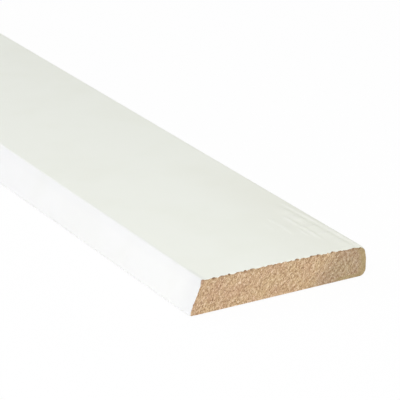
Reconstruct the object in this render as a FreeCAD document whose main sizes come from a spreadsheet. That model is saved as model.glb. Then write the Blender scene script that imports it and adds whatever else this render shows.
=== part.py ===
"""Architrave moulding: one length of fibreboard door trim, machined to a constant section and sawn square.

The moulding lies on its back. X runs along its length, Y across it from the foot of the bevelled edge to the
rounded edge, and Z up from the back to the face. The origin is the middle of the back, under the middle of
the section's box.
"""

import FreeCAD
import Part
import Sketcher
import math
import os

# Driving dimensions: name, millimetres or degrees, and what the name means
DIMENSIONS = [
    ("moulding_length", 2200, "length that the stock is sold in, between its two sawn ends"),
    ("moulding_width", 70, "foot of the bevelled edge to the rounded edge"),
    ("moulding_thickness", 12, "back to the flat part of the face"),
    ("bevel_angle", 24, "lean of the bevelled edge, away from square"),
    ("foot_radius", 0.4, "softened corner between the bevel and the back"),
    ("arris_radius", 0.8, "softened corner between the bevel and the face"),
    ("flat_width", 16, "flat part of the face, beside the bevel"),
    ("face_fall", 1.2, "how far the crowned part of the face falls to the rounded edge"),
    ("face_corner_radius", 2.5, "rounded edge, corner towards the face"),
    ("edge_belly_radius", 86, "slight belly of the rounded edge, between its corners"),
    ("back_corner_radius", 2.5, "rounded edge, corner towards the back"),
]

NODE_NAME = "architrave"
PARTS_FOLDER = "parts"
SIZE_TOLERANCE = 0.01

# Ends of a sketch line or arc, its centre, and the sketch's own origin and horizontal axis
START, END, CENTRE = 1, 2, 3
ORIGIN_POINT, HORIZONTAL_AXIS = -1, -1


def make_sheet(doc):
    """Spreadsheet with one row for each driving dimension, its value under the alias that the model reads."""
    sheet = doc.addObject("Spreadsheet::Sheet", "dims")
    for row, (alias, value, meaning) in enumerate(DIMENSIONS, start=1):
        sheet.set(f"A{row}", alias)
        sheet.set(f"B{row}", str(value))
        sheet.setAlias(f"B{row}", alias)
        sheet.set(f"C{row}", meaning)
    doc.recompute()
    return sheet


def arc(centre_y, centre_z, radius, start_angle, end_angle):
    """Counter-clockwise arc in the sketch's plane, with its angles in radians."""
    circle = Part.Circle(FreeCAD.Vector(centre_y, centre_z, 0), FreeCAD.Vector(0, 0, 1), radius)
    return Part.ArcOfCircle(circle, start_angle, end_angle)


def line(start, end):
    """Straight stretch of the outline from one (y, z) point to another."""
    return Part.LineSegment(FreeCAD.Vector(*start, 0), FreeCAD.Vector(*end, 0))


def draw_outline(sketch, sheet):
    """Adds the section's lines and arcs, counter-clockwise from the back, and returns their numbers."""
    half_width = sheet.moulding_width / 2
    thickness = sheet.moulding_thickness
    lean = math.radians(sheet.bevel_angle)
    square = math.pi / 2

    # Rounded edge: two corners and the belly between them, under the theoretical corner with the face
    edge_height = thickness - sheet.face_fall
    back_corner = sheet.back_corner_radius
    face_corner = sheet.face_corner_radius
    belly = sheet.edge_belly_radius
    belly_start = math.asin((back_corner - edge_height / 2) / belly)
    belly_end = math.asin((edge_height / 2 - face_corner) / belly)

    # Bevelled edge: the foot touches the back, the arris touches the face, and the bevel touches both outside
    foot = sheet.foot_radius
    foot_y = -half_width + foot
    arris = sheet.arris_radius
    arris_z = thickness - arris
    arris_y = foot_y + (arris_z - foot) * math.tan(lean) + (arris - foot) / math.cos(lean)
    bevel_top = (arris_y - arris * math.cos(lean), arris_z + arris * math.sin(lean))
    bevel_bottom = (foot_y - foot * math.cos(lean), foot + foot * math.sin(lean))

    # Crown: an arc that leaves the flat part level and passes through the theoretical corner
    crown_y = arris_y + sheet.flat_width
    crown_width = half_width - crown_y
    crown_radius = (crown_width**2 + sheet.face_fall**2) / (2 * sheet.face_fall)
    crown_turn = math.asin((crown_width - face_corner) / crown_radius)

    stretches = {
        "back": line((foot_y, 0), (half_width - back_corner, 0)),
        "back_corner": arc(half_width - back_corner, back_corner, back_corner, -square, 0),
        "belly": arc(half_width - belly, edge_height / 2, belly, belly_start, belly_end),
        "face_corner": arc(half_width - face_corner, edge_height - face_corner, face_corner, 0, square),
        "crown": arc(crown_y, thickness - crown_radius, crown_radius, square - crown_turn, square),
        "flat": line((crown_y, thickness), (arris_y, thickness)),
        "arris": arc(arris_y, arris_z, arris, square, 2 * square - lean),
        "bevel": line(bevel_top, bevel_bottom),
        "foot": arc(foot_y, foot, foot, 2 * square - lean, 3 * square),
    }
    outline = {}
    for name, stretch in stretches.items():
        outline[name] = sketch.addGeometry(stretch, False)
    edge_line = line((half_width, 0), (half_width, edge_height))
    outline["edge_line"] = sketch.addGeometry(edge_line, True)
    return outline


def join_outline(sketch, outline):
    """Joins the stretches smoothly, all the way round, and squares the outline to its axes."""
    smooth = ["back", "back_corner", "belly", "face_corner", "crown", "flat", "arris", "bevel", "foot"]
    for before, after in zip(smooth, smooth[1:] + smooth[:1]):
        sketch.addConstraint(Sketcher.Constraint("Tangent", outline[before], END, outline[after], START))
    sketch.addConstraint(Sketcher.Constraint("Horizontal", outline["back"]))
    sketch.addConstraint(Sketcher.Constraint("Horizontal", outline["flat"]))
    sketch.addConstraint(Sketcher.Constraint("PointOnObject", outline["back"], START, HORIZONTAL_AXIS))

    # The edge line stands where the belly is fullest, and ends in the theoretical corner with the face
    edge_line = outline["edge_line"]
    sketch.addConstraint(Sketcher.Constraint("Vertical", edge_line))
    sketch.addConstraint(Sketcher.Constraint("PointOnObject", edge_line, START, HORIZONTAL_AXIS))
    sketch.addConstraint(Sketcher.Constraint("PointOnObject", edge_line, END, outline["crown"]))
    sketch.addConstraint(Sketcher.Constraint("Tangent", edge_line, outline["belly"]))


def set_sizes(sketch, outline):
    """Gives the outline its sizes, each bound to the spreadsheet."""

    def size(name, expression, kind, *what):
        value = sketch.evalExpression(expression)
        index = sketch.addConstraint(Sketcher.Constraint(kind, *what, value))
        sketch.renameConstraint(index, name)
        sketch.setExpression(f"Constraints.{name}", expression)

    back, foot = outline["back"], outline["foot"]
    flat, edge_line = outline["flat"], outline["edge_line"]
    foot_from_middle = "dims.moulding_width / 2 - dims.foot_radius"
    middle_height = "(dims.moulding_thickness - dims.face_fall) / 2"
    size("foot_from_middle", foot_from_middle, "DistanceX", foot, CENTRE, ORIGIN_POINT, START)
    size("width", "dims.moulding_width - dims.foot_radius", "DistanceX", foot, CENTRE, edge_line, START)
    size("thickness", "dims.moulding_thickness", "DistanceY", back, START, flat, START)
    size("face_fall", "dims.face_fall", "DistanceY", edge_line, END, flat, START)
    size("flat_width", "dims.flat_width", "DistanceX", flat, END, flat, START)
    size("belly_height", middle_height, "DistanceY", ORIGIN_POINT, START, outline["belly"], CENTRE)
    size("foot_radius", "dims.foot_radius", "Radius", foot)
    size("arris_radius", "dims.arris_radius", "Radius", outline["arris"])
    size("face_corner_radius", "dims.face_corner_radius", "Radius", outline["face_corner"])
    size("belly_radius", "dims.edge_belly_radius", "Radius", outline["belly"])
    size("back_corner_radius", "dims.back_corner_radius", "Radius", outline["back_corner"])
    # The bevel is drawn downwards, so it points below the horizontal, to the left
    size("bevel_angle", "(-90 - dims.bevel_angle) * 1 deg", "Angle", outline["bevel"])


def make_moulding(doc, sheet):
    """The moulding's body: the section, drawn on the plane across its length, carried along that length."""
    body = doc.addObject("PartDesign::Body", "Moulding")
    body.Label = NODE_NAME
    section_plane = next(plane for plane in body.Origin.OriginFeatures if plane.Role == "YZ_Plane")

    section = body.newObject("Sketcher::SketchObject", "Section")
    section.AttachmentSupport = [(section_plane, "")]
    section.MapMode = "FlatFace"
    outline = draw_outline(section, sheet)
    join_outline(section, outline)
    set_sizes(section, outline)
    doc.recompute()

    stock = body.newObject("PartDesign::Pad", "Stock")
    stock.Profile = section
    stock.SideType = "Symmetric"
    stock.setExpression("Length", "dims.moulding_length")
    body.Tip = stock
    doc.recompute()
    return body, section


def check_model(doc, body, section, sheet):
    """Stops if a feature failed, the section is loose, or the solid isn't one bar of the sheet's size."""
    for item in doc.Objects:
        faults = {"Invalid", "Error"} & set(item.State)
        if faults:
            raise RuntimeError(f"{item.Label} failed: {item.State}")
    if not section.FullyConstrained:
        raise RuntimeError("the section has sizes that nothing sets")
    shape = body.Shape
    if shape.isNull() or not shape.isValid() or len(shape.Solids) != 1:
        raise RuntimeError(f"{body.Label} isn't one valid solid")
    box = shape.BoundBox
    sizes = {
        "moulding_length": box.XLength,
        "moulding_width": box.YLength,
        "moulding_thickness": box.ZLength,
    }
    for name, size in sizes.items():
        if abs(size - sheet.get(name)) > SIZE_TOLERANCE:
            raise RuntimeError(f"{name} came out as {size:.2f} mm, so the corners don't fit the section")


def main():
    doc = FreeCAD.newDocument("architrave_moulding")
    sheet = make_sheet(doc)
    body, section = make_moulding(doc, sheet)
    check_model(doc, body, section, sheet)

    shape = body.Shape
    os.makedirs(PARTS_FOLDER, exist_ok=True)
    shape.exportStep(os.path.join(PARTS_FOLDER, f"{body.Label}.step"))
    box = shape.BoundBox
    section_area = shape.Volume / sheet.moulding_length
    print(f"{body.Label}: {box.XLength:.2f} x {box.YLength:.2f} x {box.ZLength:.2f} mm")
    print(f"section {section_area:.2f} mm2, volume {shape.Volume:.0f} mm3, {len(shape.Faces)} faces")


main()
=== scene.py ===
from math import atan2, cos, pi, radians, sin, sqrt, tan
import bpy
import numpy as np
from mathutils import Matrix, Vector


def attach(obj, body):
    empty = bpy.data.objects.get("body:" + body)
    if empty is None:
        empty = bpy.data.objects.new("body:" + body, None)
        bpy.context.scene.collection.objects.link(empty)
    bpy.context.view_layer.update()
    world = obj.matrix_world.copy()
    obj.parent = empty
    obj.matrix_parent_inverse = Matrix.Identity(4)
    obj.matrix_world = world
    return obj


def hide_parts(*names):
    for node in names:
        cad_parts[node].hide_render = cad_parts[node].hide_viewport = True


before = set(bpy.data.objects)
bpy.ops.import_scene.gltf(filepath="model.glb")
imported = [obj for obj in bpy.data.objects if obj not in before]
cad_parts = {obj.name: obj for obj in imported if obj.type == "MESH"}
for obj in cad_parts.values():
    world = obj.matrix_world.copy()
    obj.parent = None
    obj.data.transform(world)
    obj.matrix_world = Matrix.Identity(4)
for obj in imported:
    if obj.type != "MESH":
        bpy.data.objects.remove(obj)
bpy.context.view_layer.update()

mm = 0.001  # the scene is in metres, the sizes below in millimetres
scene = bpy.context.scene
scene.view_settings.view_transform = "Standard"


def linear(hexColour):
    # sRGB hex to linear light: each channel over 255, then the sRGB curve undone
    channels = np.array([int(hexColour[i : i + 2], 16) for i in (1, 3, 5)]) / 255
    light = np.where(channels <= 0.04045, channels / 12.92, ((channels + 0.055) / 1.055) ** 2.4)
    return (*light, 1.0)


def addNode(tree, kind, values={}, links={}, stops=(), **settings):
    # One node: its settings, fixed values and links by the name or number of the input, and the
    # colour stops of a ramp as (position, hex colour)
    made = tree.nodes.new(kind)
    for name, value in settings.items():
        setattr(made, name, value)
    for name, value in values.items():
        made.inputs[name].default_value = value
    for name, source in links.items():
        tree.links.new(source, made.inputs[name])
    for extra in stops[2:]:
        made.color_ramp.elements.new(0.5)  # a new ramp has two stops
    for number, (position, colour) in enumerate(stops):
        made.color_ramp.elements[number].position = position
        made.color_ramp.elements[number].color = linear(colour)
    return made


def newMaterial(name):
    # Empty node tree with its output
    made = bpy.data.materials.new(name)
    made.use_nodes = True
    tree = made.node_tree
    tree.nodes.clear()
    return made, tree, addNode(tree, "ShaderNodeOutputMaterial")


def smoothStep(low, high, x):
    # 0 below low, 1 above high, and the cubic 3t^2 - 2t^3 between
    t = np.clip((x - low) / (high - low), 0, 1)
    return t * t * (3 - 2 * t)


def latticeNoise(u, v, seed):
    # Random heights from 0 to 1 on a whole-number lattice, blended between the four corners of
    # each cell by smoothstep
    size = 256
    heights = np.random.default_rng(seed).random((size, size))
    u0 = np.floor(u).astype(int)
    v0 = np.floor(v).astype(int)
    su = smoothStep(0, 1, u - u0)
    sv = smoothStep(0, 1, v - v0)
    u0, u1 = u0 % size, (u0 + 1) % size
    v0, v1 = v0 % size, (v0 + 1) % size
    low = heights[u0, v0] * (1 - su) + heights[u1, v0] * su
    high = heights[u0, v1] * (1 - su) + heights[u1, v1] * su
    return low * (1 - sv) + high * sv


# Section of the moulding, with the sizes of the CAD part, in mm and degrees
section = {
    "length": 2200.0,
    "width": 70.0,
    "thickness": 12.0,
    "bevelAngle": 24.0,
    "footRadius": 0.4,
    "arrisRadius": 0.8,
    "flatWidth": 16.0,
    "faceFall": 1.2,
    "faceCorner": 2.5,
    "bellyRadius": 86.0,
    "backCorner": 2.5,
}
halfWidth = section["width"] / 2

# How finely the moulding is divided, in mm: the step of each run of the section, then the rings
grid = {
    "footStep": 0.2,
    "bevelStep": 0.5,
    "arrisStep": 0.18,
    "flatStep": 0.36,
    "crownStep": 0.34,
    "cornerStep": 0.26,
    "bellyStep": 0.6,
    "backCornerStep": 0.4,
    "runPoints": 200,  # points worked out on each run, before they are spread by those steps
    "frontPoints": 241,  # from the bevel's foot over the face to the back corner
    "frontPerBack": 10,  # front steps for each step across the back
    "endRows": 34,
    # Rings: from, to (both from the near end) and the number between them
    "spans": [
        (0.0, 2.0, 2),
        (2.0, 50.0, 80),
        (50.0, 130.0, 32),
        (130.0, 320.0, 38),
        (320.0, 550.0, 14),
        (550.0, 1650.0, 68),
        (1650.0, 2120.0, 28),
        (2120.0, 2198.0, 26),
        (2198.0, 2200.0, 2),
    ],
    "sharpAngle": 52.0,  # degrees, edges that turn further stay sharp
}


def arcRun(centre, radius, fromAngle, toAngle):
    # Points on a circle, the angle running evenly from one value to the other
    turn = np.linspace(fromAngle, toAngle, grid["runPoints"])
    return np.column_stack([centre[0] + radius * np.cos(turn), centre[1] + radius * np.sin(turn)])


def lineRun(start, end):
    # Points on a straight line, evenly from one end to the other
    part = np.linspace(0, 1, grid["runPoints"])[:, None]
    return np.array(start) * (1 - part) + np.array(end) * part


def frontOutline(count):
    # Outline from the back over the face to the back again: foot arc, bevel, arris arc, flat,
    # crown arc, corner arc, belly arc and back corner arc, each touching the next. Points are
    # spread by length over the step of each run, so small arcs get the closest ones. Returns y, z
    # and the outward normal at each point
    thickness = section["thickness"]
    lean = radians(section["bevelAngle"])
    foot = section["footRadius"]
    arris = section["arrisRadius"]
    fall = section["faceFall"]
    corner = section["faceCorner"]
    belly = section["bellyRadius"]
    backCorner = section["backCorner"]

    footY = -halfWidth + foot
    arrisZ = thickness - arris
    arrisY = footY + (arrisZ - foot) * tan(lean) + (arris - foot) / cos(lean)
    bevelBottom = (footY - foot * cos(lean), foot + foot * sin(lean))
    bevelTop = (arrisY - arris * cos(lean), arrisZ + arris * sin(lean))
    crownY = arrisY + section["flatWidth"]
    crownWidth = halfWidth - crownY
    crown = (crownWidth**2 + fall**2) / (2 * fall)
    crownCentre = (crownY, thickness - crown)
    bellyCentre = (halfWidth - belly, (thickness - fall) / 2)

    # The corner's centre is a radius inside both the crown and the belly
    gapY = bellyCentre[0] - crownCentre[0]
    gapZ = bellyCentre[1] - crownCentre[1]
    gap = sqrt(gapY**2 + gapZ**2)
    along = (gap**2 + (crown - corner) ** 2 - (belly - corner) ** 2) / (2 * gap)
    aside = sqrt((crown - corner) ** 2 - along**2)
    cornerCentre = (
        crownCentre[0] + (along * gapY + aside * gapZ) / gap,
        crownCentre[1] + (along * gapZ - aside * gapY) / gap,
    )
    backReach = sqrt((belly - backCorner) ** 2 - (bellyCentre[1] - backCorner) ** 2)
    backCentre = (bellyCentre[0] + backReach, backCorner)

    crownEnd = atan2(cornerCentre[1] - crownCentre[1], cornerCentre[0] - crownCentre[0])
    bellyStart = atan2(cornerCentre[1] - bellyCentre[1], cornerCentre[0] - bellyCentre[0])
    bellyEnd = atan2(backCentre[1] - bellyCentre[1], backCentre[0] - bellyCentre[0])
    runs = [
        (arcRun((footY, foot), foot, 1.5 * pi, pi - lean), grid["footStep"]),
        (lineRun(bevelBottom, bevelTop), grid["bevelStep"]),
        (arcRun((arrisY, arrisZ), arris, pi - lean, pi / 2), grid["arrisStep"]),
        (lineRun((arrisY, thickness), (crownY, thickness)), grid["flatStep"]),
        (arcRun(crownCentre, crown, pi / 2, crownEnd), grid["crownStep"]),
        (arcRun(cornerCentre, corner, crownEnd, bellyStart), grid["cornerStep"]),
        (arcRun(bellyCentre, belly, bellyStart, bellyEnd), grid["bellyStep"]),
        (arcRun(backCentre, backCorner, bellyEnd, -pi / 2), grid["backCornerStep"]),
    ]
    points = np.vstack([run[:-1] for run, step in runs] + [runs[-1][0][-1:]])
    steps = np.concatenate([np.full(len(run) - 1, step) for run, step in runs])
    lengths = np.hypot(*np.diff(points, axis=0).T)
    measure = np.concatenate([[0], np.cumsum(lengths / steps)])
    wanted = np.linspace(0, measure[-1], count)
    y = np.interp(wanted, measure, points[:, 0])
    z = np.interp(wanted, measure, points[:, 1])
    tangentY, tangentZ = np.gradient(y), np.gradient(z)
    size = np.hypot(tangentY, tangentZ)
    return y, z, -tangentZ / size, tangentY / size


def ringPlaces():
    # Distance of each ring from the near end: even steps within each span, then the far end
    steps = [np.linspace(a, b, n, endpoint=False) for a, b, n in grid["spans"]]
    return np.concatenate(steps + [[section["length"]]])


def cutDistance(along):
    # Distance to the nearer of the two sawn ends
    return np.minimum(along, section["length"] - along)


# White coat: what shows in it, in mm, along from the near sawn end, across from the bevel's foot
coat = {
    "waveHeight": 0.012,
    "waveLength": 45.0,
    "waveWidth": 9.0,
    # Raised streaks on the crown near the rounded edge: across at the near and the far end, from,
    # to, half widths to the bevel's side and to the rounded edge, height, wander
    "streaks": [
        (67.80, 65.80, -5, 52, 0.55, 1.1, 0.250, 0.10),
        (64.90, 62.60, -1, 50, 2.8, 1.0, 0.320, 0.15),
        (62.10, 61.90, 26, 37, 0.4, 0.9, 0.110, 0.20),
        (59.45, 59.50, 10, 38, 0.7, 0.7, 0.220, 0.35),
        (57.20, 58.00, 15, 25, 0.5, 0.6, 0.070, 0.40),
        (53.20, 53.40, 19, 38, 0.5, 1.8, 0.150, 0.40),
        (49.80, 49.80, 24, 37, 0.7, 1.0, 0.040, 0.40),
    ],
    "wanderLength": 7.0,
    "breakLength": 2.6,
    "breakLeast": 0.4,  # a streak's height is broken up between this share
    "breakSpread": 1.2,  # and this much more
    "fadeShare": 0.22,  # part of a streak's length over which each of its ends fades
    # More such groups on the unseen part of the length, fainter, drawn out and set by the seed
    "otherGroups": 11,
    "groupStart": 330.0,
    "groupSpacing": 155.0,
    "groupJitter": 0.7,  # share of the spacing
    "groupStretch": (1.4, 2.6),
    "groupShift": (-8.0, 0.0),
    "groupWiden": 1.2,
    "groupHeight": 0.4,
    # Small dents: along, across, half length, half width, depth
    "dents": [
        (41.0, 29.5, 5.0, 0.9, 0.05),
        (25.0, 15.5, 1.8, 0.9, 0.05),
        (84.0, 33.0, 5.0, 1.2, 0.03),
        (47.0, 1.4, 1.2, 0.8, 0.15),
    ],
    # Small raised specks under the coat: along, across, half length, half width, height
    "specks": [
        (66.0, 35.0, 2.2, 0.8, 0.03),
        (64.0, 20.0, 1.8, 0.8, 0.03),
        (28.0, 21.5, 1.5, 0.7, 0.02),
        (29.3, 63.7, 0.9, 0.4, 0.09),
        (31.3, 59.3, 1.2, 0.5, 0.09),
        (20.0, 57.1, 1.4, 0.4, 0.07),
    ],
    "speckRoom": 0.03,  # the film lies this far under the true section, so that specks have room
    "backFade": 1.2,  # height over the back in which the relief dies out
    "streakShadeAcross": (38.0, 64.0),  # the painted shade grows from the first across to the second
    "streakShadeAlong": (45.0, 120.0),  # and fades out along the length from the first to the second
    "patchAlong": (300.0, 420.0),  # faint patches of the same painted shade set in here
    "patchLength": 140.0,
    "patchShare": 0.5,
    "patchSeed": 41,
    "seed": 11,
}


def streakGroup(along, across, streaks, seed):
    # Sum of ridges: a bell across each streak's slanting, wandering line, with its own half width
    # on each side, times a soft window along it that noise breaks up
    height = np.zeros(np.broadcast(along, across).shape)
    for number, streak in enumerate(streaks):
        near, far, start, end, leftWide, rightWide, tall, wander = streak
        wanderRow = 0 * along + number
        breakRow = 0 * along + number + 40  # rows of the noise that no wander uses
        slant = (far - near) * np.clip((along - start) / (end - start), 0, 1)
        drift = wander * (latticeNoise(along / coat["wanderLength"], wanderRow, seed) - 0.5) * 2
        aside = across - near - slant - drift
        bell = np.exp(-((aside / np.where(aside < 0, leftWide, rightWide)) ** 2))
        fade = coat["fadeShare"] * (end - start)
        window = smoothStep(start, start + fade, along) * (1 - smoothStep(end - fade, end, along))
        noise = latticeNoise(along / coat["breakLength"], breakRow, seed)
        height += tall * bell * window * (coat["breakLeast"] + coat["breakSpread"] * noise)
    return height


def otherStreaks(start, stretch, shift):
    # The near end's streaks without the outermost two, moved, drawn out, widened and lowered
    moved = []
    for near, far, first, last, left, right, tall, wander in coat["streaks"][1:-1]:
        place = (near + shift, far + shift, start + first * stretch, start + last * stretch)
        wide = (left * coat["groupWiden"], right * coat["groupWiden"])
        moved.append((*place, *wide, tall * coat["groupHeight"], wander))
    return moved


def bumps(along, across, marks):
    # Sum of small oval bells: height times exp of minus the squared distances over the half sizes
    height = np.zeros(np.broadcast(along, across).shape)
    for markAlong, markAcross, halfLong, halfWide, tall in marks:
        far = ((along - markAlong) / halfLong) ** 2 + ((across - markAcross) / halfWide) ** 2
        height += tall * np.exp(-far)
    return height


def coatRelief(along, across):
    # Height of the coat over the true section: long soft waves kept below it, streaks and specks,
    # less the dents
    wave = latticeNoise(along / coat["waveLength"], across / coat["waveWidth"], coat["seed"]) - 1
    height = coat["waveHeight"] * wave - coat["speckRoom"]
    height = height + streakGroup(along, across, coat["streaks"], coat["seed"])
    draw = np.random.default_rng(coat["seed"])
    for group in range(coat["otherGroups"]):
        place = group + draw.random() * coat["groupJitter"]
        start = coat["groupStart"] + place * coat["groupSpacing"]
        stretch = draw.uniform(*coat["groupStretch"])
        shift = draw.uniform(*coat["groupShift"])
        others = otherStreaks(start, stretch, shift)
        height = height + streakGroup(along, across, others, coat["seed"] + group + 1)
    height = height + bumps(along, across, coat["specks"])
    return height - bumps(along, across, coat["dents"])


def streakShadeShare(along, across):
    # Painted shade: 1 near the rounded edge beside the near end's streaks, fading towards the bevel
    # and along the length, with fainter patches by noise on the unseen part
    near = 1 - smoothStep(*coat["streakShadeAlong"], along)
    noise = latticeNoise(along / coat["patchLength"], 0 * along, coat["patchSeed"])
    patches = coat["patchShare"] * noise * smoothStep(*coat["patchAlong"], along)
    return smoothStep(*coat["streakShadeAcross"], across) * np.maximum(near, patches)


# Sawn ends: torn fibres, feed marks, chipped rim and worn corners, in mm and degrees. Pairs are
# soft limits, y across from the middle and z up from the back
sawnEnd = {
    "seeds": (31, 57),  # near and far end
    "tornDepth": 0.17,
    "fibreWidth": 0.6,
    "fibreHeight": 1.1,
    "fibreLean": 28.0,  # from upright, towards the rounded edge at the top
    "pitPower": 1.5,  # above 1 keeps the deep pits narrow
    "fineWidth": 0.4,
    "fineHeight": 0.7,
    "fineShare": 0.35,
    "lineSpacing": 2.15,  # the saw's straight, even feed marks
    "lineLean": 43.5,
    "lineDepth": 0.12,
    "lineStart": 0.588,  # share of the spacing
    "chipDepth": 0.5,
    "chipWidth": 0.7,
    "chipFineWidth": 0.45,
    "chipShare": 0.4,  # part of the rim that is chipped
    "chipSoftness": 0.18,
    "chipLeast": 0.15,  # ragged edge between the chips, share of the depth
    "chipShift": 0.9,  # the coat breaks this far beside each hollow of the feed marks
    "chipClimb": 0.9,  # how far the noise runs on for each mm up the edges
    "chipBevel": 0.8,  # share of the depth on the bevel
    "chipEdge": 0.2,  # and on the rounded edge
    "bevelY": (-31.0, -29.0),
    "faceY": (32.0, 34.5),
    "faceZ": (8.5, 10.2),
    "arrisChip": 0.55,  # share of the depth that is always gone at the arris
    "arrisY": -29.9,
    "arrisWidth": 0.8,
    "arrisBreak": 0.66,  # how far the coat is broken off at the top of the bevel
    "breakLimit": 0.88,
    "breakY": (-30.0, -29.0),
    "breakZ": (9.8, 11.6),
    "toothDrop": 0.3,
    "toothWidth": 0.8,
    "toothLevel": (0.35, 0.75),  # of the noise
    "toothY": (-29.5, -27.5),
    "toothZ": (9.5, 11.0),
    "tearShadeRows": (0.8, 0.3),  # share of the rim's painted shade in the rows of the end next to it
    "cornerWear": 0.35,  # how far the coat is worn down at the rounded corner of the cut
    "cornerY": (29.5, 33.0),
    "cornerZ": (6.0, 9.0),
    "footWear": 0.45,  # how far the bevel's foot is worn back at the cut
    "footY": (-33.0, -31.0),
    "footZ": (0.0, 2.0),
    "wearLength": 0.8,
    "edgeBandIn": (0.7, 4.0),  # in from the rounded edge
    "edgeBandBelly": 30.0,  # that edge as a parabola, z squared over this
    "edgeBandY": (20.0, 26.0),
    "edgeBandZ": (0.8, 1.7),
    "edgeBandBack": 0.8,
}


def sawLines(y, z):
    # The saw's feed marks: a sine of the distance across their lean, 1 in each hollow and 0 on
    # each ridge
    lean = radians(sawnEnd["lineLean"])
    marks = (y * cos(lean) - z * sin(lean)) / sawnEnd["lineSpacing"] - sawnEnd["lineStart"]
    return 0.5 + 0.5 * np.sin(2 * pi * marks)


def fibreRelief(y, z, seed):
    # Depth of the torn surface: noise in cells that are longer along the leaning fibres, raised to
    # a power, finer noise, and the saw's feed marks
    lean = radians(sawnEnd["fibreLean"])
    across = y * cos(lean) - z * sin(lean)
    upward = y * sin(lean) + z * cos(lean)
    coarse = latticeNoise(across / sawnEnd["fibreWidth"], upward / sawnEnd["fibreHeight"], seed)
    fineAcross = across / sawnEnd["fineWidth"] + 50  # cells apart from the coarse ones
    fine = latticeNoise(fineAcross, upward / sawnEnd["fineHeight"], seed + 1)
    fineShare = sawnEnd["fineShare"]
    torn = (1 - fineShare) * coarse ** sawnEnd["pitPower"] + fineShare * fine
    return sawnEnd["tornDepth"] * torn + sawnEnd["lineDepth"] * sawLines(y, z)


def rimChips(y, z, seed):
    # Depth of the chips along the rim: the feed marks' hollows and noise in equal parts, above a
    # level, or a bell at the arris where that is more. Full on the face, less on the bevel and
    # small on the rounded edge
    level = 1 - sawnEnd["chipShare"]
    travel = y + sawnEnd["chipClimb"] * z
    noise = latticeNoise(travel / sawnEnd["chipWidth"], 0 * y, seed)
    detail = latticeNoise(travel / sawnEnd["chipFineWidth"], 0 * y + 9, seed)  # another row
    uneven = 0.5 * sawLines(y + sawnEnd["chipShift"], z) + 0.5 * noise
    chipped = np.clip((uneven - level) / sawnEnd["chipSoftness"], 0, 1)
    depth = chipped * (0.5 + 0.5 * detail) + sawnEnd["chipLeast"] * detail
    bell = np.exp(-(((y - sawnEnd["arrisY"]) / sawnEnd["arrisWidth"]) ** 2))
    depth = np.maximum(depth, sawnEnd["arrisChip"] * bell)
    onFace = smoothStep(*sawnEnd["faceZ"], z) * (1 - smoothStep(*sawnEnd["faceY"], y))
    onBevel = 1 - smoothStep(*sawnEnd["bevelY"], y)
    edge = sawnEnd["chipEdge"]
    share = np.maximum(edge + (1 - edge) * onFace, sawnEnd["chipBevel"] * onBevel)
    return sawnEnd["chipDepth"] * depth * share


def arrisBreak(y, z):
    # How far the coat is broken back at the arris: a soft step up the bevel's top, none on the face
    onTop = smoothStep(*sawnEnd["breakZ"], z)
    return sawnEnd["arrisBreak"] * onTop * (1 - smoothStep(*sawnEnd["breakY"], y))


def rimTeeth(y, z, seed):
    # Drop of the coat's edge between the chips, where the saw pulled it over the end: noise above
    # a level, on the face
    noise = latticeNoise(y / sawnEnd["toothWidth"], 0 * y + 3, seed + 5)
    onFace = smoothStep(*sawnEnd["toothZ"], z) * smoothStep(*sawnEnd["toothY"], y)
    return sawnEnd["toothDrop"] * smoothStep(*sawnEnd["toothLevel"], noise) * onFace


def cornerWear(along, y, z):
    # Depth of the wear at the face's rounded corner: a soft window round the corner, dying away
    # from each cut as exp of minus the distance
    window = smoothStep(*sawnEnd["cornerY"], y) * smoothStep(*sawnEnd["cornerZ"], z)
    return sawnEnd["cornerWear"] * window * np.exp(-cutDistance(along) / sawnEnd["wearLength"])


def footWear(along, y, z):
    # How far the bevel's foot moves inwards: full at the back, none higher up, dying away from
    # each cut in the same way
    window = (1 - smoothStep(*sawnEnd["footZ"], z)) * (1 - smoothStep(*sawnEnd["footY"], y))
    return sawnEnd["footWear"] * window * np.exp(-cutDistance(along) / sawnEnd["wearLength"])


def edgeBandShare(y, z):
    # 1 beside the rounded edge and along the back near it, fading inwards
    middle = (section["thickness"] - section["faceFall"]) / 2
    fromEdge = halfWidth - (z - middle) ** 2 / sawnEnd["edgeBandBelly"] - y
    beside = 1 - smoothStep(*sawnEnd["edgeBandIn"], fromEdge)
    below = (1 - smoothStep(*sawnEnd["edgeBandZ"], z)) * smoothStep(*sawnEnd["edgeBandY"], y)
    return np.maximum(beside, sawnEnd["edgeBandBack"] * below)


# Painted shade round the arris, in mm: each has its strength, then soft limits along from the cut
# and across from the middle
arrisShades = {
    "cutShade": 0.507,  # painted shade on the bevel beside the cut
    "cutShadeAlong": (2.5, 12.0),
    "cutShadeY": (-30.2, -29.4),
    "drawn": 0.3,  # painted shade on the bevel's top, under the arris
    "drawnFromY": (-31.7, -30.0),
    "drawnToY": (-29.7, -29.0),
    "shadeLine": 0.9,  # painted shade in a line just inside the arris beside the cut
    "shadeLineAlong": (9.0, 11.0),
    "shadeLineY": -29.1,
    "shadeLineWidth": 0.6,
    "ridgeShade": 0.45,  # painted shade on the arris itself, fainter along the length
    "ridgeShadeAlong": (40.0, 110.0),
    "ridgeShadeFade": 0.8,
    "ridgeShadeY": -29.75,
    "ridgeShadeWidths": (0.3, 0.7),  # to the bevel and to the face
}


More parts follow.
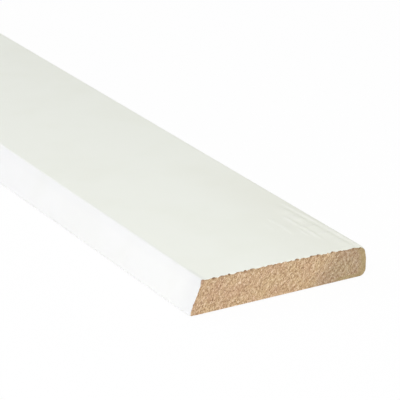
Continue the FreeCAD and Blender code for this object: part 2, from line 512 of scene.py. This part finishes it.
def arrisShadeShare(along, y):
    # Sum of the four painted shades: soft windows for the bevel beside the cut and the bevel's top,
    # bells across for the line inside the arris and the arris itself
    fromCut = cutDistance(along)
    cutShade = 1 - smoothStep(*arrisShades["cutShadeAlong"], fromCut)
    cutShade = cutShade * (1 - smoothStep(*arrisShades["cutShadeY"], y))
    drawn = smoothStep(*arrisShades["drawnFromY"], y) * (1 - smoothStep(*arrisShades["drawnToY"], y))
    shadeLineBell = np.exp(-(((y - arrisShades["shadeLineY"]) / arrisShades["shadeLineWidth"]) ** 2))
    shadeLine = (1 - smoothStep(*arrisShades["shadeLineAlong"], fromCut)) * shadeLineBell
    aside = y - arrisShades["ridgeShadeY"]
    ridgeShadeBell = np.exp(-((aside / np.where(aside < 0, *arrisShades["ridgeShadeWidths"])) ** 2))
    ridgeShade = ridgeShadeBell * (1 - arrisShades["ridgeShadeFade"] * smoothStep(*arrisShades["ridgeShadeAlong"], fromCut))
    bevel = arrisShades["cutShade"] * cutShade + arrisShades["drawn"] * drawn
    return np.clip(bevel + arrisShades["shadeLine"] * shadeLine + arrisShades["ridgeShade"] * ridgeShade, 0, 1)


def cleanFaces(corners, flip):
    # Triangles with three different corners, turned over where asked
    a, b, c = corners.T
    whole = corners[(a != b) & (b != c) & (a != c)]
    return whole[:, ::-1] if flip else whole


def gridFaces(rows, flip):
    # Two triangles for each cell of a grid of vertex numbers, without the ones that a shared
    # corner flattens
    a, b, c, d = rows[:-1, :-1], rows[:-1, 1:], rows[1:, 1:], rows[1:, :-1]
    first = np.stack([a, b, c], -1).reshape(-1, 3)
    second = np.stack([a, c, d], -1).reshape(-1, 3)
    return cleanFaces(np.concatenate([first, second]), flip)


def stitchFaces(fine, coarse, flip):
    # Strip between a fine row and a coarse one: each fine point joins the nearest coarse point by
    # share of the row
    nearest = np.round(np.linspace(0, len(coarse) - 1, len(fine))).astype(int)
    sides = np.stack([fine[:-1], fine[1:], coarse[nearest[:-1]]], -1)
    turns = np.stack([fine[1:], coarse[nearest[1:]], coarse[nearest[:-1]]], -1)
    return cleanFaces(np.concatenate([sides, turns]), flip)


# Layout of the square that the surface colours are baked to, in shares of its side: the coat in
# strips laid one above the other, both sawn ends large enough for their fibres, the back small
bakeSquare = {
    "strips": 4,
    "stripHeight": 0.135,
    "endHeight": 0.145,
    "backHeight": 0.10,
    "gap": 0.006,
    "rounding": 0.001,  # of a strip, so that a face from the border on counts to the next strip
}
coatSlot, sawnSlot, backSlot = 0, 1, 2  # order of the moulding's materials


def bakePlaces(points, faces, slots, travel):
    # Place of each face corner in that square. Coat: length within the strip by share of the
    # outline's length. Ends: width by height. Back: length by width. Each fills its own box
    corners = faces.ravel()
    x, y, z = points[corners].T
    along = np.clip(section["length"] / 2 - x, 0, section["length"])
    across = (y + halfWidth) / section["width"]
    up = z / section["thickness"]
    gap = bakeSquare["gap"]
    stripHeight = bakeSquare["stripHeight"]
    endHeight = bakeSquare["endHeight"]
    stripLength = section["length"] / bakeSquare["strips"]
    firstAlong = along.reshape(-1, 3).min(1)
    strip = np.floor(firstAlong / stripLength + bakeSquare["rounding"]).repeat(3)
    outline = travel[corners % len(travel)]
    coatSide = along / stripLength - strip
    coatTop = gap + strip * (stripHeight + gap) + outline * stripHeight
    endBase = gap + bakeSquare["strips"] * (stripHeight + gap)
    endTop = endBase + (x < 0) * (endHeight + gap) + up * endHeight
    backBase = endBase + 2 * (endHeight + gap)
    backTop = backBase + across * bakeSquare["backHeight"]
    slot = slots.repeat(3)
    places = [slot == coatSlot, slot == sawnSlot]
    side = np.select(places, [coatSide, across], along / section["length"])
    top = np.select(places, [coatTop, endTop], backTop)
    return np.column_stack([gap + (1 - 2 * gap) * side, top])


def makeMoulding():
    # The section carried along the length: rings of front points, fewer back points between the
    # outline's two ends, and a torn grid on each sawn end
    count = grid["frontPoints"]
    y, z, normalY, normalZ = frontOutline(count)
    across = y + halfWidth
    along = ringPlaces()
    rings = len(along)
    halfLength = section["length"] / 2

    # Coat: out or in along the section's normal, fading to nothing at the back's edges
    relief = coatRelief(along[:, None], across[None, :]) * smoothStep(0, coat["backFade"], z)
    relief = relief - cornerWear(along[:, None], y, z)
    frontX = np.repeat(halfLength - along[:, None], count, 1)
    frontY = y + normalY * relief + footWear(along[:, None], y, z)
    frontZ = z + normalZ * relief

    # Chips at both rims draw the coat's edge back, and the chip depth, as a share, is kept as an
    # attribute that darkens the fibres in the notches under the coat's edge as painted shade
    nearSeed, farSeed = sawnEnd["seeds"]
    ends = [(0, -1, nearSeed), (rings - 1, 1, farSeed)]  # ring, direction inwards along X, seed
    tearShade = np.zeros(frontX.shape)
    for ring, inward, seed in ends:
        chips = rimChips(y, z, seed)
        tearShade[ring] = chips / sawnEnd["chipDepth"]
        teeth = rimTeeth(y, z, seed) * (1 - np.clip(tearShade[ring], 0, 1))
        frontX[ring] += inward * np.minimum(chips + arrisBreak(y, z), sawnEnd["breakLimit"])
        frontY[ring] -= normalY * teeth
        frontZ[ring] -= normalZ * teeth

    # Back: straight between the outline's two ends
    backCount = (count - 1) // grid["frontPerBack"] + 1
    backY = np.linspace(y[0], y[-1], backCount)[1:-1]
    backX = np.repeat(halfLength - along[:, None], backCount - 2, 1)
    frontNumbers = np.arange(rings * count).reshape(rings, count)
    inner = frontNumbers.size + np.arange(backX.size).reshape(backX.shape)
    backNumbers = np.hstack([frontNumbers[:, :1], inner, frontNumbers[:, -1:]])
    points = [
        np.column_stack([frontX.ravel(), frontY.ravel(), frontZ.ravel()]),
        np.column_stack([backX.ravel(), np.tile(backY, rings), np.zeros(backX.size)]),
    ]
    blank = np.zeros(backX.size)
    shares = {
        # Chip depth, also painted shade in the notches under the coat's edge
        "tearShade": [tearShade.ravel(), blank],
        # Darker, more olive band beside the rounded edge and along the back near it
        "edgeBand": [np.tile(edgeBandShare(y, z), rings), blank],
        # Painted shade round the arris
        "arrisShade": [arrisShadeShare(along[:, None], y).ravel(), blank],
        # Painted shade beside the streaks near the rounded edge
        "streakShade": [streakShadeShare(along[:, None], across).ravel(), blank],
    }
    groups = [
        (gridFaces(frontNumbers, False), coatSlot),
        (gridFaces(backNumbers, True), backSlot),
    ]
    used = frontNumbers.size + inner.size

    # Ends: rows from the rim down to the back, pushed in by the torn relief, the first row half
    # way to the broken rim
    rows = grid["endRows"]
    part = np.linspace(0, 1, rows + 1)[1:-1, None]
    for ring, inward, seed in ends:
        rimY, rimZ = frontY[ring], frontZ[ring]
        lowY = np.linspace(rimY[0], rimY[-1], count)
        gridY = (rimY * (1 - part) + lowY * part)[:, 1:-1]
        gridZ = (rimZ * (1 - part))[:, 1:-1]
        depth = fibreRelief(gridY, gridZ, seed + 2)
        broken = halfLength - np.abs(frontX[ring, 1:-1])
        depth[0] = 0.5 * (depth[0] + broken)
        gridX = -inward * halfLength + inward * depth
        points.append(np.column_stack([gridX.ravel(), gridY.ravel(), gridZ.ravel()]))

        # Painted shade of the notches, carried into the first rows under the rim
        rowTearShade = np.zeros(depth.shape)
        for row, share in enumerate(sawnEnd["tearShadeRows"]):
            rowTearShade[row] = share * tearShade[ring, 1:-1]
        endShares = {"tearShade": rowTearShade, "edgeBand": edgeBandShare(gridY, gridZ)}
        for name, parts in shares.items():
            parts.append(endShares.get(name, np.zeros(depth.shape)).ravel())

        body = used + np.arange(gridX.size).reshape(gridX.shape)
        used += gridX.size
        left = np.full((rows - 1, 1), frontNumbers[ring, 0])
        right = np.full((rows - 1, 1), frontNumbers[ring, -1])
        numbers = np.vstack([frontNumbers[ring], np.hstack([left, body, right])])
        near = ring == 0
        groups.append((gridFaces(numbers, near), sawnSlot))
        groups.append((stitchFaces(numbers[-1], backNumbers[ring], near), sawnSlot))

    points = np.vstack(points)
    faces = np.vstack([corners for corners, slot in groups])
    slots = np.concatenate([np.full(len(corners), slot) for corners, slot in groups])
    mesh = bpy.data.meshes.new("architraveMoulding")
    mesh.from_pydata((points * mm).tolist(), [], faces.tolist())
    mesh.polygons.foreach_set("material_index", slots.astype(np.int32))
    travel = np.concatenate([[0], np.cumsum(np.hypot(np.diff(y), np.diff(z)))])
    places = bakePlaces(points, faces, slots, travel / travel[-1])
    mesh.uv_layers.new(name="OFBake").data.foreach_set("uv", places.ravel())
    for name, parts in shares.items():
        attribute = mesh.attributes.new(name, "FLOAT", "POINT")
        attribute.data.foreach_set("value", np.concatenate(parts))
    mesh.shade_smooth()
    mesh.set_sharp_from_angle(angle=radians(grid["sharpAngle"]))
    mesh.validate()
    made = bpy.data.objects.new("architraveMoulding", mesh)
    scene.collection.objects.link(made)
    print(f"moulding: {rings} rings, {len(points)} points, {len(faces)} triangles")
    return made


# White water-based primer, sprayed on machined fibreboard and dried under lamps: an even, slightly
# warm white with a dull sheen, fine orange peel, and fibres that the water raised along the
# cutter's path. Sizes in mm
primer = {
    "whites": [(0.36, "#EDF0E4"), (0.56, "#EFF2E7")],  # thinner and fuller coat in the mottle
    "mottleSize": 26.0,
    "arrisShade": "#F5F5F7",  # painted shade round the arris
    "streakShade": "#FAF9F7",  # painted shade near the rounded edge beside the streaks
    "roughness": 0.46,
    "roughnessSpread": 0.05,
    "ior": 1.5,
    "peelSize": 1.6,
    "peelHeight": 0.006,
    "fibreWidth": 0.5,
    "fibreLength": 9.0,
    "fibreHeight": 0.004,
}


def sprayedPrimer():
    # Mottled white times the painted shades round the arris and beside the streaks, a bump of
    # orange peel and then of raised fibres, and a sheen that follows the mottle
    made, tree, output = newMaterial("sprayedWhitePrimer")
    place = addNode(tree, "ShaderNodeTexCoord").outputs["Object"]
    mottle = addNode(
        tree,
        "ShaderNodeTexNoise",
        {"Scale": 1 / (primer["mottleSize"] * mm), "Detail": 3, "Roughness": 0.5},
        {"Vector": place},
    ).outputs["Fac"]
    tone = addNode(tree, "ShaderNodeValToRGB", links={"Fac": mottle}, stops=primer["whites"])
    colour = tone.outputs["Color"]
    # Painted shade round the arris and beside the streaks near the rounded edge
    for share in ("arrisShade", "streakShade"):
        amount = addNode(tree, "ShaderNodeAttribute", attribute_name=share)
        colour = addNode(
            tree,
            "ShaderNodeMix",
            {"B": linear(primer[share])},
            {"Factor": amount.outputs["Fac"], "A": colour},
            data_type="RGBA",
            blend_type="MULTIPLY",
        ).outputs["Result"]
    peel = addNode(
        tree,
        "ShaderNodeTexNoise",
        {"Scale": 1 / (primer["peelSize"] * mm), "Detail": 1},
        {"Vector": place},
    )
    stretch = primer["fibreWidth"] / primer["fibreLength"]
    fibrePlace = addNode(tree, "ShaderNodeMapping", {"Scale": (stretch, 1, 1)}, {"Vector": place})
    fibre = addNode(
        tree,
        "ShaderNodeTexNoise",
        {"Scale": 1 / (primer["fibreWidth"] * mm), "Detail": 2},
        {"Vector": fibrePlace.outputs["Vector"]},
    )
    peelBump = addNode(
        tree,
        "ShaderNodeBump",
        {"Strength": 1.0, "Distance": primer["peelHeight"] * mm},
        {"Height": peel.outputs["Fac"]},
    )
    fibreBump = addNode(
        tree,
        "ShaderNodeBump",
        {"Strength": 1.0, "Distance": primer["fibreHeight"] * mm},
        {"Height": fibre.outputs["Fac"], "Normal": peelBump.outputs["Normal"]},
    )
    spread = primer["roughnessSpread"]
    sheen = addNode(
        tree,
        "ShaderNodeMapRange",
        {"To Min": primer["roughness"] - spread, "To Max": primer["roughness"] + spread},
        {"Value": mottle},
    )
    shader = addNode(
        tree,
        "ShaderNodeBsdfPrincipled",
        {"IOR": primer["ior"]},
        {
            "Base Color": colour,
            "Roughness": sheen.outputs["Result"],
            "Normal": fibreBump.outputs["Normal"],
        },
    )
    tree.links.new(shader.outputs["BSDF"], output.inputs["Surface"])
    return made


# Medium-density fibreboard cut across by a saw: tan torn fibre bundles, dark pits between them,
# no growth rings. Sizes in mm
sawn = {
    # Pit, shade, fibre and tip in the speckle
    "tones": [(0.28, "#82684D"), (0.42, "#B69A7A"), (0.56, "#CDB596"), (0.75, "#ECDDC8")],
    "clumpWidth": 0.26,  # coarser than single fibres so that it shows
    "clumpHeight": 0.65,
    "gritSize": 0.22,  # cut fibre ends, drawn coarser too
    "gritShare": 0.42,
    # Painted shade of the saw's feed marks, as a tone in the speckle
    "lineShadeShare": 0.04,
    "casts": [(0.32, "#F6EBE6"), (0.5, "#FAF4EC"), (0.68, "#FCF8EC")],
    "mottleSize": 6.0,
    "margin": "#E6EAEE",  # darker cast towards the rounded edge
    "marginFrom": 5.0,  # across the lean of the feed marks, from the middle
    "marginTo": 14.0,
    "edgeBand": "#A5936A",  # darker, more olive band beside that edge and along the back near it
    "edgeBandAmount": 0.75,
    # Painted shade in the torn notches under the coat's edge
    "tornShade": "#6E4E33",
    "bumpStrength": 0.7,
    "bumpHeight": 0.12,
    "roughness": 0.9,
    "ior": 1.45,
    "specular": 0.25,
}


def sawnFibreboard():
    # Speckle of leaning fibre clumps and grit as a tone, with painted shade of the feed marks,
    # times a soft mottle and a darker cast towards the rounded edge, then mixed to a darker olive
    # band and to painted shade in the torn notches by the mesh's attributes
    made, tree, output = newMaterial("sawnFibreboard")
    place = addNode(tree, "ShaderNodeTexCoord").outputs["Object"]
    fibreTurn = (radians(sawnEnd["fibreLean"]), 0, 0)
    turned = addNode(tree, "ShaderNodeMapping", {"Rotation": fibreTurn}, {"Vector": place})
    squeeze = sawn["clumpWidth"] / sawn["clumpHeight"]
    fibrePlace = addNode(
        tree,
        "ShaderNodeMapping",
        {"Scale": (1, 1, squeeze)},
        {"Vector": turned.outputs["Vector"]},
    ).outputs["Vector"]
    clump = addNode(
        tree,
        "ShaderNodeTexNoise",
        {"Scale": 1 / (sawn["clumpWidth"] * mm), "Detail": 2, "Roughness": 0.55},
        {"Vector": fibrePlace},
    )
    grit = addNode(
        tree,
        "ShaderNodeTexVoronoi",
        {"Scale": 1 / (sawn["gritSize"] * mm)},
        {"Vector": fibrePlace},
    )
    strokes = addNode(
        tree,
        "ShaderNodeMix",
        {"Factor": sawn["gritShare"]},
        {"A": clump.outputs["Fac"], "B": grit.outputs["Color"]},
    )
    lineTurn = (radians(sawnEnd["lineLean"]), 0, 0)
    linePlace = addNode(
        tree, "ShaderNodeMapping", {"Rotation": lineTurn}, {"Vector": place}
    ).outputs["Vector"]
    lines = addNode(
        tree,
        "ShaderNodeTexWave",
        {
            # At scale 1 the waves of this node are 2 pi / 20 long
            "Scale": 2 * pi / (20 * sawnEnd["lineSpacing"] * mm),
            "Phase Offset": -2 * pi * sawnEnd["lineStart"],
        },
        {"Vector": linePlace},
        bands_direction="Y",
    )
    # The feed marks mixed into the speckle: painted shade in the tone, relief in the bump
    speckle = addNode(
        tree,
        "ShaderNodeMix",
        {"Factor": sawn["lineShadeShare"]},
        {"A": strokes.outputs["Result"], "B": lines.outputs["Fac"]},
    ).outputs["Result"]
    tone = addNode(tree, "ShaderNodeValToRGB", links={"Fac": speckle}, stops=sawn["tones"])
    mottle = addNode(
        tree,
        "ShaderNodeTexNoise",
        {"Scale": 1 / (sawn["mottleSize"] * mm), "Detail": 2},
        {"Vector": place},
    )
    cast = addNode(
        tree, "ShaderNodeValToRGB", links={"Fac": mottle.outputs["Fac"]}, stops=sawn["casts"]
    )
    mixed = addNode(
        tree,
        "ShaderNodeMix",
        {"Factor": 1.0},
        {"A": tone.outputs["Color"], "B": cast.outputs["Color"]},
        data_type="RGBA",
        blend_type="MULTIPLY",
    )
    axes = addNode(tree, "ShaderNodeSeparateXYZ", links={"Vector": linePlace})
    # Darker towards the rounded edge, across the lean of the feed marks
    marginShare = addNode(
        tree,
        "ShaderNodeMapRange",
        {"From Min": sawn["marginFrom"] * mm, "From Max": sawn["marginTo"] * mm},
        {"Value": axes.outputs["Y"]},
        interpolation_type="SMOOTHSTEP",
    )
    margin = addNode(
        tree,
        "ShaderNodeMix",
        {"B": linear(sawn["margin"])},
        {"Factor": marginShare.outputs["Result"], "A": mixed.outputs["Result"]},
        data_type="RGBA",
        blend_type="MULTIPLY",
    )
    # Darker, more olive band beside the rounded edge and along the back near it
    edgeBandAttribute = addNode(tree, "ShaderNodeAttribute", attribute_name="edgeBand")
    edgeBandFactor = addNode(
        tree,
        "ShaderNodeMath",
        {1: sawn["edgeBandAmount"]},
        {0: edgeBandAttribute.outputs["Fac"]},
        operation="MULTIPLY",
    )
    edgeBand = addNode(
        tree,
        "ShaderNodeMix",
        {"B": linear(sawn["edgeBand"])},
        {"Factor": edgeBandFactor.outputs[0], "A": margin.outputs["Result"]},
        data_type="RGBA",
    )
    # Painted shade in the notches under the coat's edge, as deep as the chips
    tearShade = addNode(tree, "ShaderNodeAttribute", attribute_name="tearShade")
    torn = addNode(
        tree,
        "ShaderNodeMix",
        {"B": linear(sawn["tornShade"])},
        {"Factor": tearShade.outputs["Fac"], "A": edgeBand.outputs["Result"]},
        data_type="RGBA",
    )
    bump = addNode(
        tree,
        "ShaderNodeBump",
        {"Strength": sawn["bumpStrength"], "Distance": sawn["bumpHeight"] * mm},
        {"Height": speckle},
    )
    shader = addNode(
        tree,
        "ShaderNodeBsdfPrincipled",
        {
            "Roughness": sawn["roughness"],
            "IOR": sawn["ior"],
            "Specular IOR Level": sawn["specular"],
        },
        {"Base Color": torn.outputs["Result"], "Normal": bump.outputs["Normal"]},
    )
    tree.links.new(shader.outputs["BSDF"], output.inputs["Surface"])
    return made


# The board's own sanded face, left bare on the back: smoother and browner than the sawn ends, with
# fine flecks and sanding lines along the length. Sizes in mm
bareBack = {
    "tones": [(0.3, "#A98659"), (0.7, "#C4A377")],
    "lineWidth": 0.8,
    "lineLength": 60.0,
    "fleck": "#8A673F",
    "fleckSize": 1.4,
    "fleckFrom": 0.6,  # level of the noise where a fleck starts, and where it is full
    "fleckTo": 0.72,
    "fleckMost": 0.7,
    "bumpStrength": 0.6,
    "bumpHeight": 0.03,
    "roughness": 0.72,
    "ior": 1.45,
}


def sandedFibreboard():
    # Long thin noise as sanding lines in the tone and the bump, and flecks where a rounder noise
    # is high
    made, tree, output = newMaterial("sandedFibreboard")
    place = addNode(tree, "ShaderNodeTexCoord").outputs["Object"]
    fleck = addNode(
        tree,
        "ShaderNodeTexNoise",
        {"Scale": 1 / (bareBack["fleckSize"] * mm), "Detail": 3, "Roughness": 0.6},
        {"Vector": place},
    )
    stretch = bareBack["lineWidth"] / bareBack["lineLength"]
    linePlace = addNode(tree, "ShaderNodeMapping", {"Scale": (stretch, 1, 1)}, {"Vector": place})
    lines = addNode(
        tree,
        "ShaderNodeTexNoise",
        {"Scale": 1 / (bareBack["lineWidth"] * mm), "Detail": 2},
        {"Vector": linePlace.outputs["Vector"]},
    ).outputs["Fac"]
    tone = addNode(tree, "ShaderNodeValToRGB", links={"Fac": lines}, stops=bareBack["tones"])
    spots = addNode(
        tree,
        "ShaderNodeMapRange",
        {
            "From Min": bareBack["fleckFrom"],
            "From Max": bareBack["fleckTo"],
            "To Min": 0.0,
            "To Max": bareBack["fleckMost"],
        },
        {"Value": fleck.outputs["Fac"]},
    )
    mixed = addNode(
        tree,
        "ShaderNodeMix",
        {"B": linear(bareBack["fleck"])},
        {"Factor": spots.outputs["Result"], "A": tone.outputs["Color"]},
        data_type="RGBA",
    )
    bump = addNode(
        tree,
        "ShaderNodeBump",
        {"Strength": bareBack["bumpStrength"], "Distance": bareBack["bumpHeight"] * mm},
        {"Height": lines},
    )
    shader = addNode(
        tree,
        "ShaderNodeBsdfPrincipled",
        {"Roughness": bareBack["roughness"], "IOR": bareBack["ior"]},
        {"Base Color": mixed.outputs["Result"], "Normal": bump.outputs["Normal"]},
    )
    tree.links.new(shader.outputs["BSDF"], output.inputs["Surface"])
    return made


moulding = makeMoulding()
for finish in (sprayedPrimer(), sawnFibreboard(), sandedFibreboard()):
    moulding.data.materials.append(finish)
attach(moulding, "root")
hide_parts("architrave")
print("finishes:", ", ".join(m.name for m in moulding.data.materials))


# White studio: a wide pale floor, an even white surround and four soft lamps, the key above the
# bevel's side
studio = {
    "floorSize": 60.0,  # metres
    "floorDrop": 0.4,  # mm under the object
    "floorColour": "#FCFCFC",
    "floorWhite": 0.95,  # share of plain white seen in the floor, the rest takes the shadow
    "surround": 0.55,
    "surroundColour": "#FFFFFF",
    # Place, aim and size in metres, level on a white card at the aim that faces the lamp, colour
    "lamps": {
        "keyLamp": ((1.24, -0.31, 0.56), (1.05, 0.0, 0.0), 0.45, 0.320, "#FFFFFF"),
        "endFill": ((4.90, -0.30, 1.00), (1.10, 0.0, 0.0), 1.2, 0.371, "#FFFFFF"),
        "farLamp": ((-0.60, -0.75, 1.25), (-0.60, 0.0, 0.0), 1.0, 0.20, "#FFFFFF"),
        "edgeFill": ((0.60, -1.90, 0.45), (0.85, 0.0, 0.0), 1.0, 0.230, "#C9B6FF"),
    },
}


def backgroundRays(tree):
    # 1 for rays from the camera, a reflection or a refraction, 0 for the light on the object
    path = addNode(tree, "ShaderNodeLightPath")
    direct = addNode(
        tree,
        "ShaderNodeMath",
        links={0: path.outputs["Is Camera Ray"], 1: path.outputs["Is Glossy Ray"]},
        operation="MAXIMUM",
    )
    every = addNode(
        tree,
        "ShaderNodeMath",
        links={0: direct.outputs[0], 1: path.outputs["Is Transmission Ray"]},
        operation="MAXIMUM",
    )
    return every.outputs[0]


def makeFloor():
    # One square grid of three lines each way, in the plane just under the object
    half = studio["floorSize"] / 2
    line = np.linspace(-half, half, 3)
    gridX, gridY = np.meshgrid(line, line)
    gridZ = np.full(gridX.shape, -studio["floorDrop"] * mm)
    points = np.column_stack([gridX.ravel(), gridY.ravel(), gridZ.ravel()])
    faces = gridFaces(np.arange(gridX.size).reshape(gridX.shape), False)
    mesh = bpy.data.meshes.new("studioFloor")
    mesh.from_pydata(points.tolist(), [], faces.tolist())
    made = bpy.data.objects.new("studioFloor", mesh)
    scene.collection.objects.link(made)

    # Matt white paper: it takes the soft shadow, and the camera sees it nearly plain white
    paper, tree, output = newMaterial("whitePaperFloor")
    seen = addNode(
        tree,
        "ShaderNodeMath",
        {1: studio["floorWhite"]},
        {0: backgroundRays(tree)},
        operation="MULTIPLY",
    )
    matt = addNode(tree, "ShaderNodeBsdfDiffuse", {"Color": linear(studio["floorColour"])})
    white = addNode(tree, "ShaderNodeEmission", {"Strength": 1.0})
    mixed = addNode(
        tree,
        "ShaderNodeMixShader",
        links={0: seen.outputs[0], 1: matt.outputs[0], 2: white.outputs[0]},
    )
    tree.links.new(mixed.outputs[0], output.inputs["Surface"])
    mesh.materials.append(paper)


def lightStudio():
    # Surround: white to the background's rays, dimmer as light on the object. Lamps: watts are the
    # level times pi squared times the squared distance from the aim
    world = bpy.data.worlds.new("whiteSurround")
    world.use_nodes = True
    scene.world = world
    tree = world.node_tree
    tree.nodes.clear()
    output = addNode(tree, "ShaderNodeOutputWorld")
    strength = addNode(
        tree,
        "ShaderNodeMapRange",
        {"To Min": studio["surround"], "To Max": 1.0},
        {"Value": backgroundRays(tree)},
    )
    sky = addNode(
        tree,
        "ShaderNodeBackground",
        {"Color": linear(studio["surroundColour"])},
        {"Strength": strength.outputs["Result"]},
    )
    tree.links.new(sky.outputs[0], output.inputs["Surface"])

    for name, (place, aim, size, level, colour) in studio["lamps"].items():
        back = Vector(place) - Vector(aim)
        lamp = bpy.data.lights.new(name, "AREA")
        lamp.shape = "DISK"
        lamp.size = size
        lamp.color = linear(colour)[:3]
        lamp.energy = level * pi**2 * back.length_squared
        made = bpy.data.objects.new(name, lamp)
        scene.collection.objects.link(made)
        made.location = place
        made.rotation_euler = back.to_track_quat("Z", "Y").to_euler()
        made.visible_camera = False


# Camera: a long lens near the sawn end, level from side to side
camera = {
    "lens": 215.13,  # mm
    "sensor": 36.0,
    "place": (1.72285, -0.39612, 0.32304),  # metres
    "pitch": 21.367,  # degrees below level
    "heading": 59.618,  # degrees from looking along +Y, towards -X
}


def makeCamera():
    # Tipped up from straight down by a right angle less the pitch, then turned to its heading
    lens = bpy.data.cameras.new("camera")
    lens.lens = camera["lens"]
    lens.sensor_width = camera["sensor"]
    made = bpy.data.objects.new("camera", lens)
    scene.collection.objects.link(made)
    made.location = camera["place"]
    made.rotation_euler = (radians(90 - camera["pitch"]), 0, radians(camera["heading"]))
    scene.camera = made


makeFloor()
lightStudio()
makeCamera()
print("studio: floor, surround, lamps and camera")
